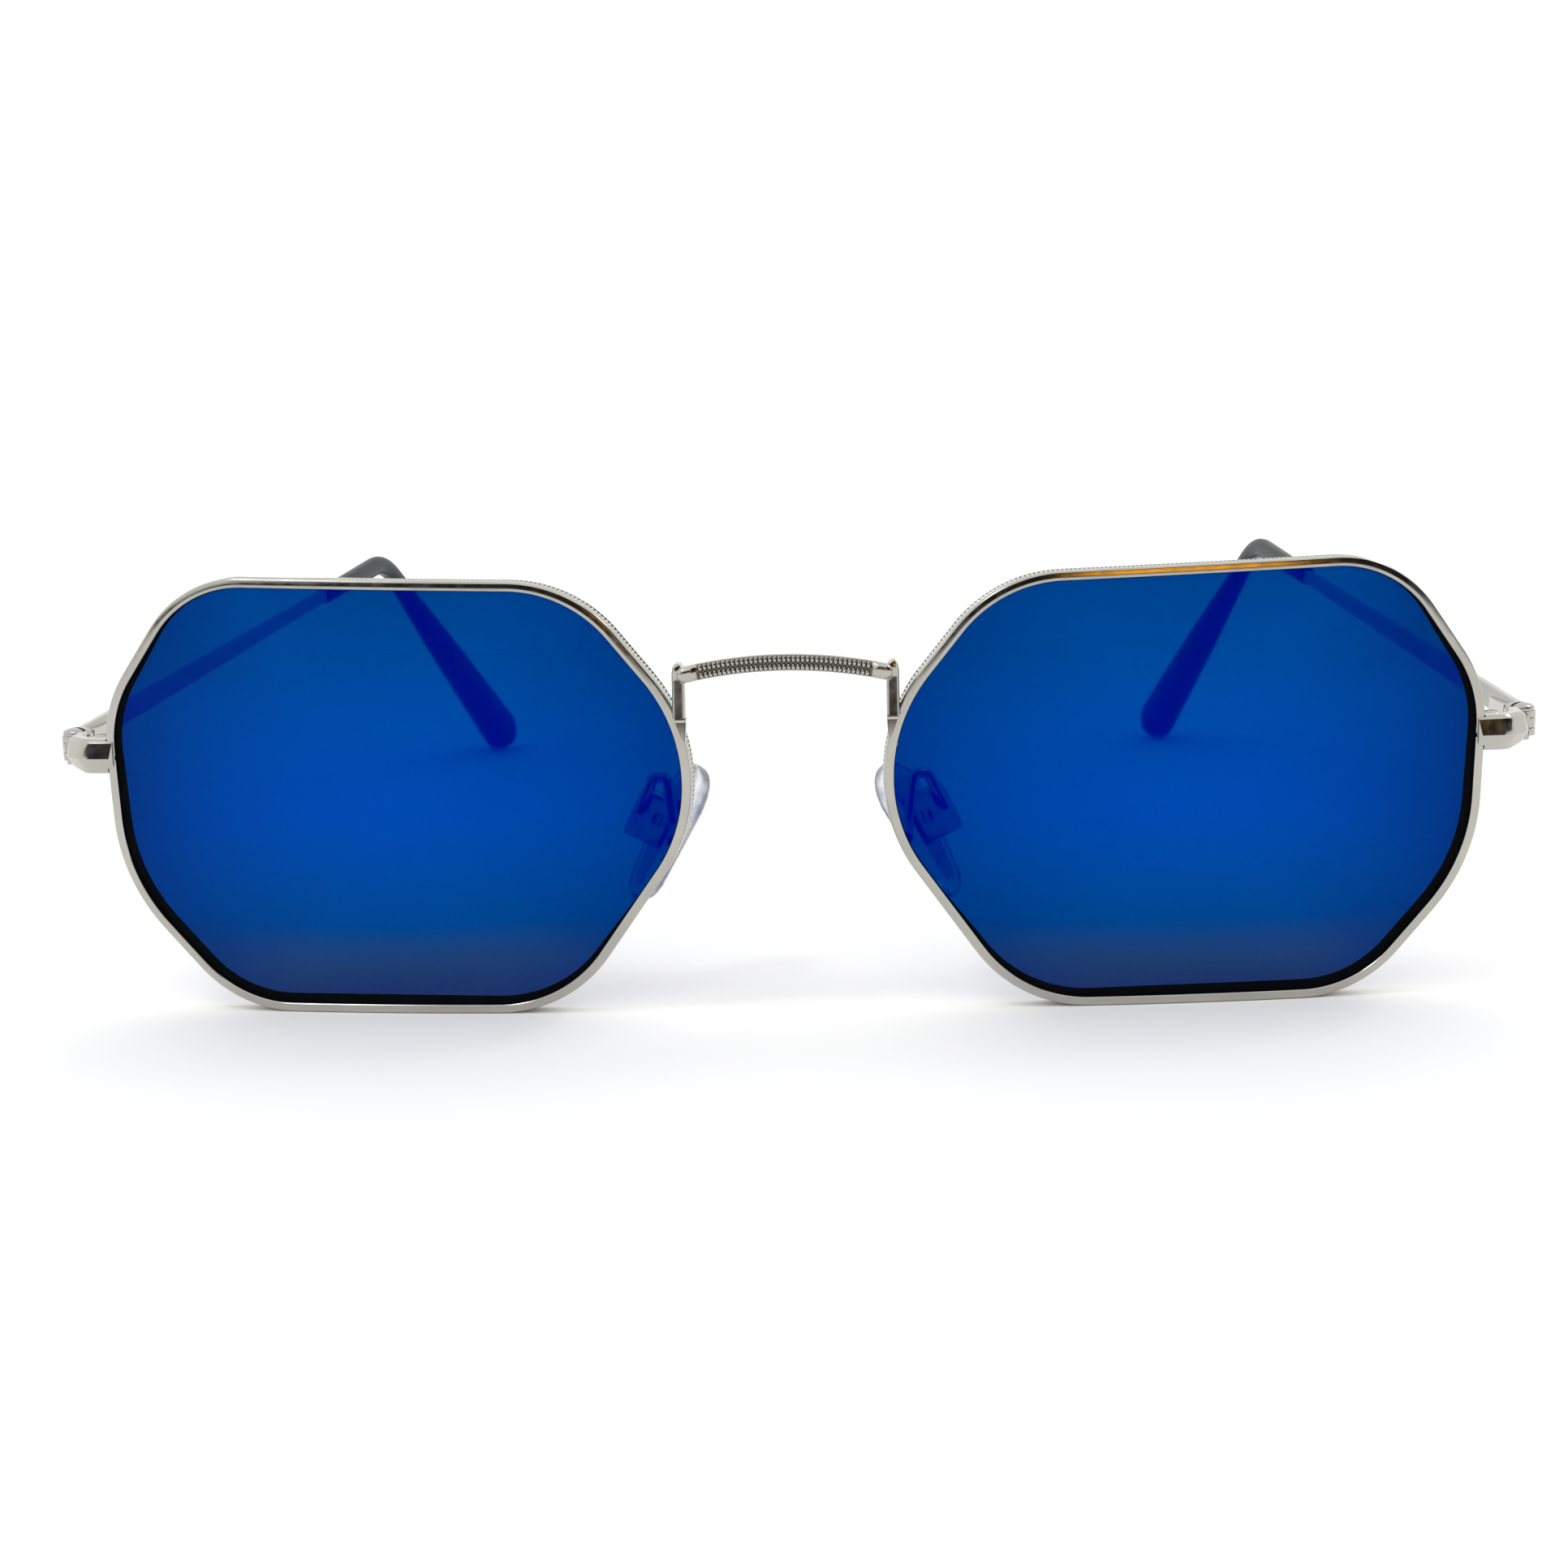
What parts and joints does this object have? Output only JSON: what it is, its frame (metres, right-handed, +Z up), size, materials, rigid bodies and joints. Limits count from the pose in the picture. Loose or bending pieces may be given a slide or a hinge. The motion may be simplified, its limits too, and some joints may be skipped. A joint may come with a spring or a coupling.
{
  "type": "sunglasses",
  "caption": "Thin metal sunglasses with eight-sided blue mirror lenses, beaded arched bridge, clear nose pads that rock and side arms that fold.",
  "frame": {"origin": "middle of the footprint, on the table that the open glasses stand on", "axes": "+X to the wearer's left, +Y from the front back along the arms, +Z up; the lenses face -Y. left_ and right_ are the wearer's."},
  "size_m": [0.1404, 0.148, 0.0412],
  "materials": {
    "polished_metal": "polished silver plating",
    "screw_steel": "bright",
    "mirror_lens": "blue mirror coating",
    "tip_plastic": "semi-gloss",
    "clear_silicone": "clear"
  },
  "bodies": {
    "front": {"bridge": "polished_metal", "left_rim": "polished_metal", "right_rim": "polished_metal", "left_lens": "mirror_lens", "right_lens": "mirror_lens", "left_bridge_post": "polished_metal", "right_bridge_post": "polished_metal", "left_end_piece": "polished_metal", "right_end_piece": "polished_metal", "left_closing_block_upper": "polished_metal", "right_closing_block_upper": "polished_metal", "left_closing_block_lower": "polished_metal", "right_closing_block_lower": "polished_metal", "left_closing_screw": "screw_steel", "right_closing_screw": "screw_steel", "left_hinge_front": "polished_metal", "right_hinge_front": "polished_metal", "left_hinge_screw": "screw_steel", "right_hinge_screw": "screw_steel", "left_pad_arm": "polished_metal", "right_pad_arm": "polished_metal", "left_pad_box": "polished_metal", "right_pad_box": "polished_metal", "left_pad_screw": "screw_steel", "right_pad_screw": "screw_steel"},
    "left_temple": {"left_hinge_temple": "polished_metal", "left_temple_arm": "polished_metal", "left_temple_tip": "tip_plastic"},
    "left_pad": {"left_nose_pad": "clear_silicone", "left_pad_insert": "polished_metal"},
    "right_temple": {"right_hinge_temple": "polished_metal", "right_temple_arm": "polished_metal", "right_temple_tip": "tip_plastic"},
    "right_pad": {"right_nose_pad": "clear_silicone", "right_pad_insert": "polished_metal"}
  },
  "joints": [
    {"name": "left_temple_fold", "type": "hinge", "parent": "front", "child": "left_temple", "pos_m": [0.0688, -0.0625, 0.02495], "axis": [0, 0, 1], "range_deg": [0, 83]},
    {"name": "right_temple_fold", "type": "hinge", "parent": "front", "child": "right_temple", "pos_m": [-0.0688, -0.0625, 0.02495], "axis": [0, 0, -1], "range_deg": [0, 77]},
    {"name": "left_pad_rock", "type": "hinge", "parent": "front", "child": "left_pad", "pos_m": [0.01341, -0.06262, 0.01696], "axis": [-0.4384, -0.8988, 0], "range_deg": [-8, 8]},
    {"name": "right_pad_rock", "type": "hinge", "parent": "front", "child": "right_pad", "pos_m": [-0.01341, -0.06262, 0.01696], "axis": [0.4384, -0.8988, 0], "range_deg": [-8, 8]}
  ]
}
